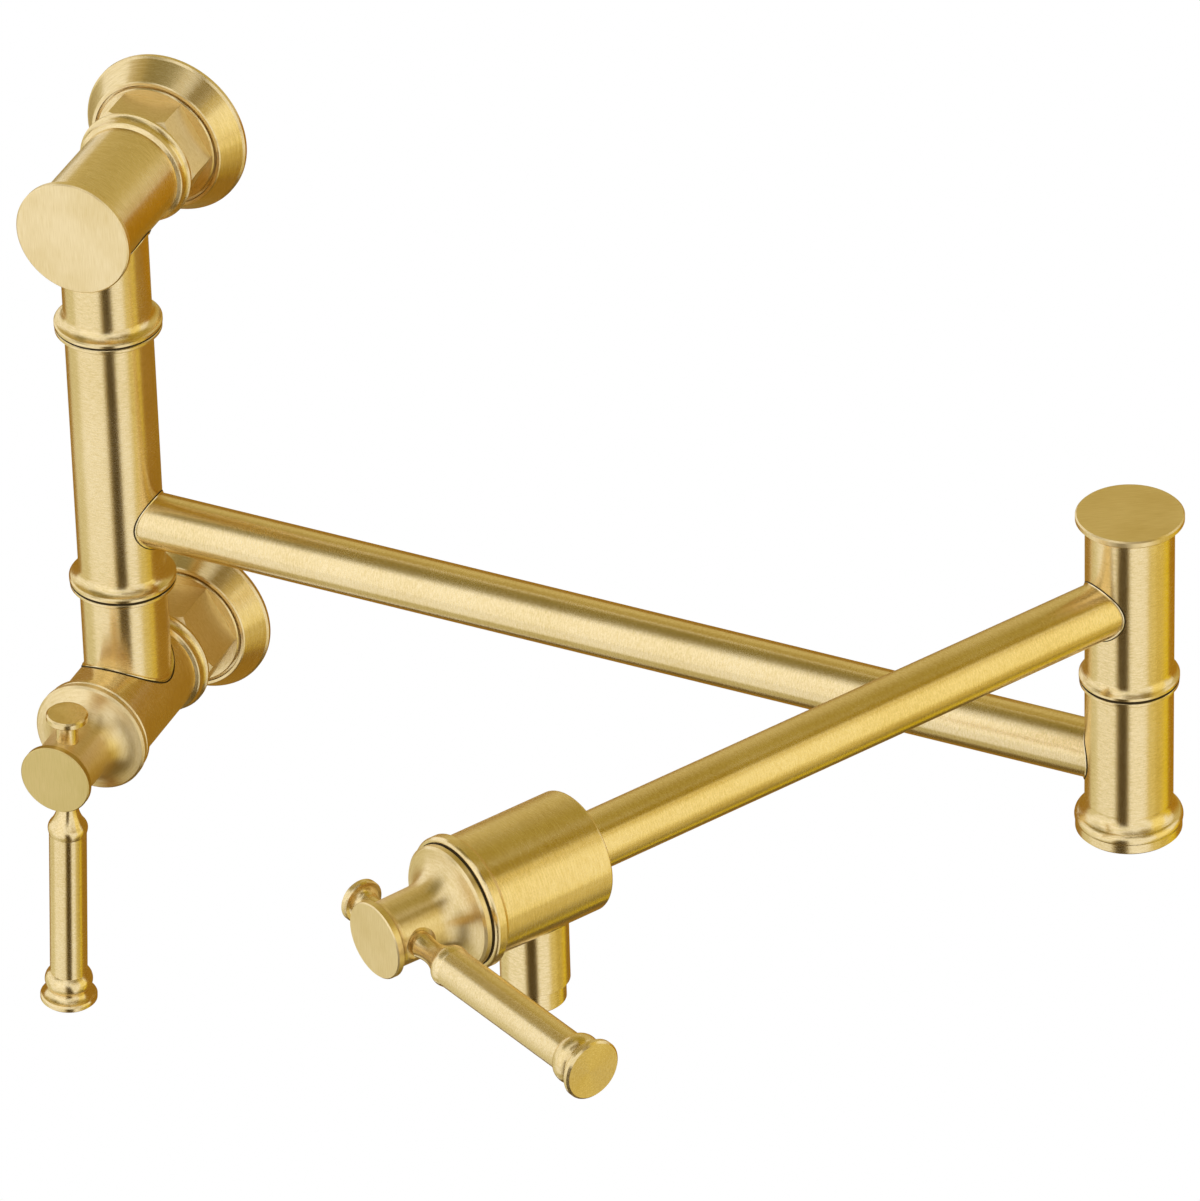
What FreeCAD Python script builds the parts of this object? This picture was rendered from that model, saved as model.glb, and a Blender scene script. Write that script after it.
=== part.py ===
"""Wall mounted pot filler: two wall unions, a swivel post, two jointed arms
and two quarter-turn lever valves.

Frame: origin on the wall plane at the axis of the lower inlet, +Y into the
wall, +Z up, +X to the right along the wall.  All sizes are millimetres.
"""
import FreeCAD, Part
import math
import os
import re

import Sketcher

doc = FreeCAD.newDocument("pot_filler")

# ---------------------------------------------------------------- dimensions
SIZES = (
    # overall layout
    ("inlet_pitch", 203.2, "height of the upper inlet above the lower one"),
    ("post_off", 55.1, "wall plane to the swivel post axis"),
    ("arm_span", 392.1, "post axis to elbow axis"),
    ("arm_angle", -2.83, "first arm, degrees from +X"),
    ("spout_angle", 240.7, "second arm, degrees from +X"),
    ("arm_one_z", 76.5, "height of the first arm"),
    ("arm_two_z", 142.3, "height of the second arm"),
    ("run_gap", 0.3, "axial gap at each swivel seam"),
    ("fit_gap", 0.05, "radial clearance of a running or soldered fit"),
    ("face_gap", 0.05, "gap left between faces that meet"),
    # wall unions
    ("thread_rad", 10.48, "half inch inlet thread"),
    ("thread_len", 15, "thread beyond the wall plane"),
    ("thread_relief", 0.3, "plain shank between thread and shoulder"),
    ("water_rad", 7.5, "waterway"),
    ("lower_reach", 6.7, "how much further out the lower union sits"),
    ("upper_reach", 0, "the same for the upper union"),
    ("web_back", 6.2, "rear of the flange web"),
    ("web_thick", 2, "flange web"),
    ("seat_rad", 15, "connector shoulder"),
    ("seat_thick", 1.4, "connector shoulder length"),
    ("union_rad", 13.2, "three quarter inch union thread"),
    ("union_end", 15, "connector face from the wall"),
    ("washer_thick", 2, "union washer"),
    ("flange_rad", 30.8, "flange at the wall"),
    ("flange_nose", 25.2, "flange front rim"),
    ("flange_deep", 10.4, "flange depth"),
    ("flange_wall", 1.4, "flange wall"),
    ("nut_flats", 38, "union nut across flats"),
    ("nut_back", 9.8, "rear of the union nut"),
    ("nut_front", 25.5, "front of the union nut"),
    ("nut_lip", 3, "inner lip of the union nut"),
    ("tail_rad", 11.6, "barrel tail"),
    ("tail_collar", 13, "barrel tail collar"),
    ("bead_back", 26, "rear of the barrel bead from the wall"),
    ("bead_wide", 1.7, "barrel bead width"),
    ("bead_rad", 21.5, "barrel bead outer radius"),
    ("collar_rad", 20.1, "collar in front of the bead"),
    ("collar_end", 31.6, "front of the collar from the wall"),
    ("barrel_rad", 18.6, "barrels"),
    # upper barrel
    ("disc_rad", 21.7, "front disc"),
    ("disc_thick", 2.6, "front disc"),
    ("disc_front", 79.3, "front disc face from the wall"),
    ("plug_rad", 14, "bore behind the front disc"),
    ("plug_len", 9, "disc plug"),
    # post and swivels
    ("post_rad", 15.8, "post and stubs"),
    ("seam_low", 48.8, "lower swivel seam"),
    ("seam_high", 155.5, "upper swivel seam"),
    ("ring_rad", 19.3, "swivel ring"),
    ("ring_thick", 2.1, "swivel ring bead"),
    ("ring_cove", 3.4, "cove between ring and column"),
    ("ring_edge", 0.5, "chamfer of a swivel ring"),
    ("spigot_rad", 11, "post spigots"),
    ("spigot_len", 16, "post spigots"),
    ("sleeve_bore", 12.6, "sleeve chamber"),
    ("groove_rad", 9.4, "O-ring groove floor"),
    ("groove_wide", 2, "O-ring groove"),
    ("cord_rad", 0.75, "O-ring cord"),
    ("slip_thick", 1.2, "wear washer"),
    ("slip_rad", 14.5, "wear washer outer radius"),
    # arms
    ("tube_rad", 10.1, "arm tubes"),
    ("tube_wall", 1.2, "arm tube wall"),
    ("elbow_rad", 15.3, "elbow column"),
    ("elbow_foot", 48.5, "underside of the elbow"),
    ("elbow_seam", 110.2, "elbow seam"),
    ("elbow_ring", 17.3, "elbow ring"),
    ("elbow_top", 176, "top of the elbow cap"),
    ("elbow_pin", 10.5, "elbow spigot"),
    ("elbow_pin_len", 15, "elbow spigot"),
    ("elbow_bore", 11, "elbow chamber"),
    ("foot_rad", 18.5, "elbow foot"),
    ("foot_rim", 4, "elbow foot rim"),
    ("foot_cove", 9, "elbow foot moulding above the rim"),
    ("foot_plug", 5.5, "depth of the foot plug"),
    ("lid_rad", 18.6, "elbow top disc"),
    ("lid_thick", 3.3, "elbow top disc"),
    ("lid_plug", 7, "elbow top plug"),
    # spout valve
    ("valve_rad", 21.15, "spout valve body"),
    ("valve_rear", 237.8, "rear of the valve body from the elbow axis"),
    ("valve_front", 287.3, "front of the valve body from the elbow axis"),
    ("valve_bead", 23.2, "front bead of the valve body"),
    ("valve_bead_wide", 6.2, "front bead width"),
    ("socket_deep", 6.2, "tube socket"),
    ("valve_bore", 15, "cartridge chamber"),
    ("nozzle_at", 255.5, "nozzle axis from the elbow axis"),
    ("nozzle_rad", 11.65, "nozzle"),
    ("nozzle_bore", 9.5, "nozzle bore"),
    ("nozzle_drop", 43, "nozzle end below the arm axis"),
    ("aerator_rad", 10.2, "aerator housing"),
    ("aerator_drop", 51, "aerator end below the arm axis"),
    ("aerator_bore", 8, "aerator bore"),
    # stop valve
    ("stop_front", 85.3, "front of the lower body from the wall"),
    ("stop_bead", 20.9, "front bead of the lower body"),
    ("stop_bead_wide", 3.3, "front bead width"),
    ("stop_bore", 13.05, "cartridge chamber"),
    # lever handles
    ("hub_gap", 0.3, "gap behind a handle hub"),
    ("hub_rad", 21.4, "handle bell"),
    ("hub_rim", 3, "handle bell rim"),
    ("stem_rad", 11.6, "handle stem"),
    ("bell_sweep", 10, "concave radius of the bell"),
    ("lever_at", 21.7, "lever axis in front of the hub base"),
    ("stem_len", 29.35, "hub length"),
    ("cap_rad", 13.4, "handle front disc"),
    ("cap_thick", 3, "handle front disc"),
    ("spindle_rad", 4, "valve spindle"),
    ("screw_rad", 2.45, "handle screw"),
    ("screw_seat", 13, "seat of the handle screw from the hub base"),
    ("neck_rad", 4.4, "lever neck"),
    ("lever_len", 102.6, "lever tip from the stem axis"),
    ("grip_rad", 6.92, "lever grip"),
    ("lever_bead", 27.2, "first bead of the lever from the stem axis"),
    ("tip_rad", 10.4, "lever end disc"),
    ("finial_len", 22.6, "finial top from the stem axis"),
    ("finial_rad", 7.55, "finial disc"),
    ("finial_neck", 4, "finial neck"),
    ("lever_lean", 2.9, "lean of the lower lever from plumb, degrees"),
)

sheet = doc.addObject("Spreadsheet::Sheet", "Dims")
for row, (alias, size, note) in enumerate(SIZES, start=1):
    sheet.set("A%d" % row, note)
    sheet.set("B%d" % row, str(size))
    sheet.setAlias("B%d" % row, alias)
doc.recompute()

NAMES = {alias for alias, size, note in SIZES}


def bound(text):
    """The expression with every size taken from the sheet."""
    return re.sub(r"[a-z][a-z_]*", lambda m: "Dims." + m.group() if m.group() in NAMES
                  else m.group(), text)


def amount(text):
    return float(sheet.evalExpression(bound(text)))


def place(item, spot=("0", "0", "0"), turn=("0", "0", "0")):
    """Bind the item's position and its yaw, pitch and roll."""
    spots = "; ".join("(%s) * 1" % bound(part) for part in spot)
    turns = "; ".join(bound(part) for part in turn)
    item.setExpression("Placement", "placement(vector(%s); rotation(%s))" % (spots, turns))
    return item


def lathe(name, outline, where=None):
    """A turned piece: outline is (radius, height) points, and a third entry
    is the radius of the arc to the next point, positive when it bulges to
    the left of the direction of travel."""
    body = doc.addObject("PartDesign::Body", name)
    sketch = body.newObject("Sketcher::SketchObject", name + "_outline")
    plane = [item for item in body.Origin.OriginFeatures if item.Role == "XZ_Plane"][0]
    sketch.AttachmentSupport = [(plane, "")]
    sketch.MapMode = "FlatFace"
    spots = [FreeCAD.Vector(amount(point[0]), amount(point[1]), 0) for point in outline]
    ends = []
    for index, point in enumerate(outline):
        start = spots[index]
        end = spots[(index + 1) % len(spots)]
        if len(point) == 2:
            sketch.addGeometry(Part.LineSegment(start, end), False)
            ends.append((1, 2))
            continue
        radius = amount(point[2])
        chord = end - start
        side = FreeCAD.Vector(-chord.y, chord.x, 0).normalize()
        rise = math.sqrt(radius ** 2 - (chord.Length / 2) ** 2)
        centre = (start + end) / 2 - side * math.copysign(rise, radius)
        first, last = (end, start) if radius > 0 else (start, end)
        angles = [math.atan2((p - centre).y, (p - centre).x) for p in (first, last)]
        circle = Part.Circle(centre, FreeCAD.Vector(0, 0, 1), abs(radius))
        sketch.addGeometry(Part.ArcOfCircle(circle, angles[0], angles[1]), False)
        ends.append((2, 1) if radius > 0 else (1, 2))
    count = len(outline)
    for index in range(count):
        after = (index + 1) % count
        sketch.addConstraint(Sketcher.Constraint(
            "Coincident", index, ends[index][1], after, ends[after][0]))
    for index, point in enumerate(outline):
        corner = (index, ends[index][0])
        for kind, text, size, axis in (("DistanceX", point[0], spots[index].x, -2),
                                       ("DistanceY", point[1], spots[index].y, -1)):
            if text == "0":
                sketch.addConstraint(Sketcher.Constraint("PointOnObject", *corner, axis))
                continue
            number = sketch.addConstraint(Sketcher.Constraint(kind, -1, 1, *corner, size))
            sketch.setExpression("Constraints[%d]" % number, bound(text))
        if len(point) == 3:
            number = sketch.addConstraint(Sketcher.Constraint(
                "Radius", index, abs(amount(point[2]))))
            sketch.setExpression("Constraints[%d]" % number, "abs(%s)" % bound(point[2]))
    turned = body.newObject("PartDesign::Revolution", name + "_turned")
    turned.Profile = sketch
    turned.ReferenceAxis = (sketch, ["V_Axis"])
    turned.Angle = 360
    body.Tip = turned
    if where:
        place(body, *where)
    return body


def rod(name, radius, start, end, where):
    """A plain cylinder along the local axis from start to end."""
    item = doc.addObject("Part::Cylinder", name)
    item.setExpression("Radius", bound(radius))
    item.setExpression("Height", bound("(%s) - (%s)" % (end, start)))
    item.setExpression("Placement", "placement(vector(%s); rotation(%s)) * "
                       "placement(vector(0; 0; %s); rotation(0; 0; 0))"
                       % ("; ".join("(%s) * 1" % bound(part) for part in where[0]),
                          "; ".join(bound(part) for part in where[1]), bound(start)))
    return item


def cut(name, base, *tools):
    """The base with each tool taken away."""
    for number, tool in enumerate(tools, start=1):
        item = doc.addObject("Part::Cut", "%s_cut_%d" % (name, number))
        item.Base = base
        item.Tool = tool
        base = item
    base.Label = name
    return base


# ------------------------------------------------------------ reference frames
UPRIGHT = ("0", "0", "0")
LOWER = (("0", "0", "0"), ("0", "0", "90"))
UPPER = (("0", "0", "inlet_pitch"), ("0", "0", "90"))
POST = (("0", "-post_off", "0"), UPRIGHT)
ELBOW_X = "arm_span * cos(arm_angle)"
ELBOW_Y = "(arm_span * sin(arm_angle) - post_off)"
ELBOW = ((ELBOW_X, ELBOW_Y, "0"), UPRIGHT)
ARM_ONE = (("0", "-post_off", "arm_one_z"), ("arm_angle + 90", "0", "90"))
ARM_TWO = ((ELBOW_X, ELBOW_Y, "arm_two_z"), ("spout_angle + 90", "0", "90"))


def along_spout(reach, height, turn):
    """A frame at a distance along the second arm."""
    return ((ELBOW_X + " + (%s) * cos(spout_angle)" % reach,
             ELBOW_Y + " + (%s) * sin(spout_angle)" % reach, height), turn)


nodes = []


def keep(*items):
    nodes.extend(items)


# --------------------------------------------------------------- wall unions
def wall_union(side, level):
    """The threaded connector, flange, washer and captive nut of one inlet."""
    reach = side + "_reach"
    end = "union_end + " + reach
    front = "nut_front + " + reach
    keep(lathe(side + "_inlet_connector", (
        ("water_rad", "-thread_len"),
        ("thread_rad - 1", "-thread_len"),
        ("thread_rad", "1 - thread_len"),
        ("thread_rad", "0"),
        ("thread_rad - thread_relief", "0"),
        ("thread_rad - thread_relief", "web_back + web_thick + face_gap"),
        ("seat_rad", "web_back + web_thick + face_gap"),
        ("seat_rad", "web_back + web_thick + seat_thick"),
        ("union_rad", "web_back + web_thick + seat_thick"),
        ("union_rad", end + " - 1"),
        ("union_rad - 1", end),
        ("water_rad", end),
    ), level))
    keep(lathe(side + "_flange", (
        ("thread_rad + fit_gap", "web_back"),
        ("flange_nose - flange_wall", "web_back"),
        ("flange_rad - flange_wall", "0"),
        ("flange_rad", "0"),
        ("flange_rad", "1.3"),
        ("flange_rad - 0.7", "2"),
        ("flange_nose", "flange_deep - 0.4"),
        ("flange_nose - 0.4", "flange_deep"),
        ("flange_nose - flange_wall", "flange_deep"),
        ("flange_nose - flange_wall - 0.2", "flange_deep - 0.4"),
        ("flange_nose - flange_wall - 0.2", "web_back + web_thick"),
        ("thread_rad + fit_gap", "web_back + web_thick"),
    ), level))
    keep(lathe(side + "_union_washer", (
        ("water_rad + 0.5", end + " + face_gap"),
        ("tail_collar - 0.6", end + " + face_gap"),
        ("tail_collar - 0.6", end + " + washer_thick"),
        ("water_rad + 0.5", end + " + washer_thick"),
    ), level))
    blank = lathe(side + "_nut_blank", (
        ("union_rad + fit_gap", "nut_back"),
        ("nut_flats * 0.53", "nut_back"),
        ("nut_flats * 0.58", "nut_back + 1.2"),
        ("nut_flats * 0.58", front + " - 1.5"),
        ("nut_flats * 0.53", front),
        ("tail_rad + fit_gap", front),
        ("tail_rad + fit_gap", front + " - nut_lip"),
        ("union_rad + fit_gap", front + " - nut_lip"),
    ), level)
    hexagon = doc.addObject("Part::Prism", side + "_nut_hexagon")
    hexagon.Polygon = 6
    hexagon.setExpression("Circumradius", bound("nut_flats / 2 / cos(30)"))
    hexagon.setExpression("Height", bound(front + " - nut_back + 2"))
    place(hexagon, (level[0][0], "1 - nut_back", level[0][2]), ("0", "0", "90"))
    nut = doc.addObject("Part::Common", side + "_union_nut")
    nut.Base = blank
    nut.Tool = hexagon
    keep(nut)


def tail(side):
    """The rear end of a barrel, from the union face to the plain barrel."""
    reach = " + " + side + "_reach"
    return (
        ("water_rad", "union_end + washer_thick + face_gap" + reach),
        ("tail_collar", "union_end + washer_thick + face_gap" + reach),
        ("tail_collar", "nut_front - nut_lip - face_gap" + reach),
        ("tail_rad", "nut_front - nut_lip - face_gap" + reach),
        ("tail_rad", "bead_back" + reach),
        ("bead_rad - 0.5", "bead_back" + reach),
        ("bead_rad", "bead_back + 0.5" + reach),
        ("bead_rad", "bead_back + bead_wide - 0.4" + reach),
        ("bead_rad - 0.5", "bead_back + bead_wide" + reach, "3"),
        ("collar_rad", "bead_back + bead_wide + 1.8" + reach),
        ("collar_rad", "collar_end - 0.3" + reach),
        ("collar_rad - 0.4", "collar_end" + reach),
        ("barrel_rad", "collar_end + 0.6" + reach),
    )


wall_union("lower", LOWER)
wall_union("upper", UPPER)

# --------------------------------------------------------------- upper barrel
upper_barrel = lathe("upper_barrel", tail("upper") + (
    ("barrel_rad", "disc_front - disc_thick - face_gap"),
    ("plug_rad", "disc_front - disc_thick - face_gap"),
    ("plug_rad", "post_off - water_rad - 3"),
    ("water_rad", "post_off - water_rad - 3"),
), UPPER)
DOWN_UPPER = (("0", "-post_off", "inlet_pitch"), ("0", "180", "0"))
keep(cut("upper_body", upper_barrel,
         rod("upper_port", "water_rad", "0", "barrel_rad + 1", DOWN_UPPER)))
keep(lathe("upper_front_cap", (
    ("0", "disc_front - disc_thick - plug_len"),
    ("plug_rad - fit_gap", "disc_front - disc_thick - plug_len"),
    ("plug_rad - fit_gap", "disc_front - disc_thick"),
    ("disc_rad - 0.5", "disc_front - disc_thick"),
    ("disc_rad", "disc_front - disc_thick + 0.5"),
    ("disc_rad", "disc_front - 0.5"),
    ("disc_rad - 0.5", "disc_front"),
    ("0", "disc_front"),
), UPPER))


# --------------------------------------------------------------- swivel rings
def flared_ring(outer, inner, seam):
    """The ring above a swivel seam, with a cove up to the column."""
    return (
        (outer + " - ring_edge", seam + " + run_gap / 2"),
        (outer, seam + " + run_gap / 2 + ring_edge"),
        (outer, seam + " + ring_thick - ring_edge"),
        (outer + " - ring_edge", seam + " + ring_thick", "ring_cove * 1.15"),
        (inner, seam + " + ring_thick + ring_cove"),
    )


def plain_ring(outer, inner, seam):
    """The ring below a swivel seam, square to the column."""
    return (
        (inner, seam + " - ring_thick"),
        (outer + " - ring_edge", seam + " - ring_thick"),
        (outer, seam + " - ring_thick + ring_edge"),
        (outer, seam + " - run_gap / 2 - ring_edge"),
        (outer + " - ring_edge", seam + " - run_gap / 2"),
    )


# ----------------------------------------------------------------- stubs
stub_top = lathe("upper_stub_turned", (
    ("water_rad", "seam_high - spigot_len"),
    ("spigot_rad - 0.8", "seam_high - spigot_len"),
    ("spigot_rad", "seam_high - spigot_len + 0.8"),
    ("spigot_rad", "seam_high + run_gap / 2"),
) + flared_ring("ring_rad", "post_rad", "seam_high") + (
    ("post_rad", "inlet_pitch - barrel_rad * 0.4"),
    ("water_rad", "inlet_pitch - barrel_rad * 0.4"),
), POST)
keep(cut("upper_stub", stub_top,
         rod("upper_saddle", "barrel_rad + face_gap", "post_off - post_rad - 4",
             "post_off + post_rad + 4", UPPER)))
stub_low = lathe("lower_stub_turned", (
    ("water_rad", "barrel_rad * 0.4"),
    ("post_rad", "barrel_rad * 0.4"),
) + plain_ring("ring_rad - 0.2", "post_rad", "seam_low") + (
    ("spigot_rad", "seam_low - run_gap / 2"),
    ("spigot_rad", "seam_low + 4"),
    ("groove_rad", "seam_low + 4"),
    ("groove_rad", "seam_low + 4 + groove_wide"),
    ("spigot_rad", "seam_low + 4 + groove_wide"),
    ("spigot_rad", "seam_low + 9"),
    ("groove_rad", "seam_low + 9"),
    ("groove_rad", "seam_low + 9 + groove_wide"),
    ("spigot_rad", "seam_low + 9 + groove_wide"),
    ("spigot_rad", "seam_low + spigot_len - 0.8"),
    ("spigot_rad - 0.8", "seam_low + spigot_len"),
    ("water_rad", "seam_low + spigot_len"),
), POST)
keep(cut("lower_stub", stub_low,
         rod("lower_saddle", "barrel_rad + face_gap", "post_off - post_rad - 4",
             "post_off + post_rad + 4", LOWER),
         rod("lower_collar_saddle", "collar_rad + face_gap", "collar_end + lower_reach - 9",
             "collar_end + lower_reach + 1 + face_gap", LOWER)))

# --------------------------------------------------------------- lower body
lower_barrel = lathe("lower_barrel", tail("lower") + (
    ("barrel_rad", "stop_front - stop_bead_wide"),
    ("stop_bead - 0.5", "stop_front - stop_bead_wide + 0.2"),
    ("stop_bead", "stop_front - stop_bead_wide + 0.7"),
    ("stop_bead", "stop_front - 0.8"),
    ("stop_bead - 0.8", "stop_front"),
    ("stop_bore", "stop_front"),
    ("stop_bore", "post_off + water_rad + 1.2"),
    ("water_rad", "post_off + water_rad + 1.2"),
), LOWER)
UP_LOWER = (("0", "-post_off", "0"), UPRIGHT)
keep(cut("lower_body", lower_barrel,
         rod("lower_port", "water_rad", "0", "barrel_rad + 1", UP_LOWER)))


def cartridge(prefix, bore, rear, front, where):
    """A quarter-turn cartridge and the ring nut that holds it."""
    keep(lathe(prefix + "_cartridge", (
        ("0", rear),
        (bore + " - fit_gap", rear),
        (bore + " - fit_gap", front + " - 3.4"),
        ("spindle_rad + 3", front + " - 3.4"),
        ("spindle_rad + 3", front + " - 0.6"),
        ("spindle_rad + fit_gap", front + " - 0.6"),
        ("spindle_rad + fit_gap", front + " - 16"),
        ("0", front + " - 16"),
    ), where))
    keep(lathe(prefix + "_bonnet_nut", (
        ("spindle_rad + 3 + fit_gap", front + " - 3.4 + face_gap"),
        (bore + " - fit_gap", front + " - 3.4 + face_gap"),
        (bore + " - fit_gap", front + " - 0.1"),
        ("spindle_rad + 3 + fit_gap", front + " - 0.1"),
    ), where))


cartridge("lower", "stop_bore", "post_off + water_rad + 2.2", "stop_front", LOWER)
cartridge("spout", "valve_bore", "nozzle_at - 1", "valve_front", ARM_TWO)


# ------------------------------------------------------------------ swivels
def swivel_washer(name, inner, outer, base, where):
    keep(lathe(name, (
        (inner, base),
        (outer, base),
        (outer, base + " + slip_thick"),
        (inner, base + " + slip_thick"),
    ), where))


swivel_washer("lower_swivel_washer", "spigot_rad + 0.4", "slip_rad",
              "seam_low - run_gap / 2", POST)
swivel_washer("upper_swivel_washer", "spigot_rad + 0.4", "slip_rad",
              "seam_high + run_gap / 2 - slip_thick", POST)
swivel_washer("elbow_swivel_washer", "elbow_pin + 0.4", "slip_rad - 1",
              "elbow_seam - slip_thick + run_gap / 2", ELBOW)


def seal_rings(name, floor, levels, where):
    """Two rings, six-sided in section, in the grooves of a spigot."""
    centre = floor + " + cord_rad + fit_gap"
    rings = [lathe("%s_%d" % (name, number), (
        (centre + " - cord_rad", level + " - cord_rad * 0.5"),
        (centre, level + " - cord_rad"),
        (centre + " + cord_rad", level + " - cord_rad * 0.5"),
        (centre + " + cord_rad", level + " + cord_rad * 0.5"),
        (centre, level + " + cord_rad"),
        (centre + " - cord_rad", level + " + cord_rad * 0.5"),
    ), where) for number, level in enumerate(levels, start=1)]
    pair = doc.addObject("Part::Compound", name)
    pair.Links = rings
    keep(pair)


seal_rings("lower_seal_rings", "groove_rad",
           ("seam_low + 4 + groove_wide / 2", "seam_low + 9 + groove_wide / 2"), POST)
seal_rings("elbow_seal_rings", "groove_rad - 0.5",
           ("elbow_seam - 4 - groove_wide / 2", "elbow_seam - 8.5 - groove_wide / 2"), ELBOW)

# -------------------------------------------------------------------- arm one
sleeve = lathe("sleeve_turned", (
    ("spigot_rad + fit_gap", "seam_low + run_gap / 2 + slip_thick"),
    ("slip_rad + fit_gap", "seam_low + run_gap / 2 + slip_thick"),
    ("slip_rad + fit_gap", "seam_low + run_gap / 2"),
) + flared_ring("ring_rad", "post_rad", "seam_low") + plain_ring(
    "ring_rad - 0.2", "post_rad", "seam_high") + (
    ("slip_rad + fit_gap", "seam_high - run_gap / 2"),
    ("slip_rad + fit_gap", "seam_high - run_gap / 2 - slip_thick"),
    ("spigot_rad + fit_gap", "seam_high - run_gap / 2 - slip_thick"),
    ("spigot_rad + fit_gap", "seam_high - spigot_len - 1"),
    ("sleeve_bore", "seam_high - spigot_len - 2.5"),
    ("sleeve_bore", "seam_low + spigot_len + 2.5"),
    ("spigot_rad + fit_gap", "seam_low + spigot_len + 1"),
), POST)
keep(cut("swivel_sleeve", sleeve,
         rod("sleeve_port", "tube_rad - tube_wall", "0", "post_rad + 2", ARM_ONE)))
tube_one = lathe("arm_one_blank", (
    ("tube_rad - tube_wall", "post_rad * 0.6"),
    ("tube_rad", "post_rad * 0.6"),
    ("tube_rad", "arm_span - elbow_rad * 0.6"),
    ("tube_rad - tube_wall", "arm_span - elbow_rad * 0.6"),
), ARM_ONE)
keep(cut("arm_1_tube", tube_one,
         rod("post_cope", "post_rad + face_gap", "arm_one_z - 20", "arm_one_z + 20", POST),
         rod("elbow_cope", "elbow_rad + face_gap", "arm_one_z - 20", "arm_one_z + 20", ELBOW)))
elbow_base = lathe("elbow_base_turned", (
    ("elbow_bore", "elbow_foot"),
    ("foot_rad - 0.8", "elbow_foot"),
    ("foot_rad", "elbow_foot + 0.8"),
    ("foot_rad", "elbow_foot + foot_rim", "-2.6"),
    ("foot_rad - 1.2", "elbow_foot + foot_rim + foot_cove * 0.4", "foot_cove * 0.62"),
    ("elbow_rad", "elbow_foot + foot_rim + foot_cove"),
) + plain_ring("elbow_ring - 0.2", "elbow_rad", "elbow_seam") + (
    ("slip_rad - 1 + fit_gap", "elbow_seam - run_gap / 2"),
    ("slip_rad - 1 + fit_gap", "elbow_seam + run_gap / 2 - slip_thick - face_gap"),
    ("elbow_pin + fit_gap", "elbow_seam + run_gap / 2 - slip_thick - face_gap"),
    ("elbow_pin + fit_gap", "elbow_seam - elbow_pin_len - 2"),
    ("elbow_bore", "elbow_seam - elbow_pin_len - 2.5"),
), ELBOW)
TO_POST = ((ELBOW_X, ELBOW_Y, "arm_one_z"), ("arm_angle + 270", "0", "90"))
keep(cut("elbow_lower", elbow_base,
         rod("elbow_port", "tube_rad - tube_wall", "0", "elbow_rad + 2", TO_POST)))
keep(lathe("elbow_foot_plug", (
    ("0", "elbow_foot + 0.4"),
    ("elbow_bore - fit_gap", "elbow_foot + 0.4"),
    ("elbow_bore - fit_gap", "elbow_foot + foot_plug"),
    ("0", "elbow_foot + foot_plug"),
), ELBOW))

# -------------------------------------------------------------------- arm two
elbow_head = lathe("elbow_head_turned", (
    ("water_rad", "elbow_seam - elbow_pin_len"),
    ("elbow_pin - 0.8", "elbow_seam - elbow_pin_len"),
    ("elbow_pin", "elbow_seam - elbow_pin_len + 0.8"),
    ("elbow_pin", "elbow_seam - 8.5 - groove_wide"),
    ("groove_rad - 0.5", "elbow_seam - 8.5 - groove_wide"),
    ("groove_rad - 0.5", "elbow_seam - 8.5"),
    ("elbow_pin", "elbow_seam - 8.5"),
    ("elbow_pin", "elbow_seam - 4 - groove_wide"),
    ("groove_rad - 0.5", "elbow_seam - 4 - groove_wide"),
    ("groove_rad - 0.5", "elbow_seam - 4"),
    ("elbow_pin", "elbow_seam - 4"),
    ("elbow_pin", "elbow_seam + run_gap / 2"),
) + flared_ring("elbow_ring", "elbow_rad", "elbow_seam") + (
    ("elbow_rad", "elbow_top - lid_thick - face_gap"),
    ("elbow_bore", "elbow_top - lid_thick - face_gap"),
    ("elbow_bore", "elbow_seam + 12"),
    ("water_rad", "elbow_seam + 9"),
), ELBOW)
keep(cut("elbow_upper", elbow_head,
         rod("head_port", "tube_rad - tube_wall", "0", "elbow_rad + 2", ARM_TWO)))
keep(lathe("elbow_top_cap", (
    ("0", "elbow_top - lid_thick - lid_plug"),
    ("elbow_bore - fit_gap", "elbow_top - lid_thick - lid_plug"),
    ("elbow_bore - fit_gap", "elbow_top - lid_thick"),
    ("elbow_rad + 0.9", "elbow_top - lid_thick"),
    ("elbow_rad + 1.4", "elbow_top - lid_thick + 0.5"),
    ("lid_rad - 0.7", "elbow_top - lid_thick + 0.5"),
    ("lid_rad", "elbow_top - lid_thick + 1.2"),
    ("lid_rad", "elbow_top - 0.5"),
    ("lid_rad - 0.5", "elbow_top"),
    ("0", "elbow_top"),
), ELBOW))
tube_two = lathe("arm_two_blank", (
    ("tube_rad - tube_wall", "elbow_rad * 0.6"),
    ("tube_rad", "elbow_rad * 0.6"),
    ("tube_rad", "valve_rear + socket_deep - face_gap"),
    ("tube_rad - tube_wall", "valve_rear + socket_deep - face_gap"),
), ARM_TWO)
keep(cut("arm_2_tube", tube_two,
         rod("head_cope", "elbow_rad + face_gap", "arm_two_z - 20", "arm_two_z + 20", ELBOW)))
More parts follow.
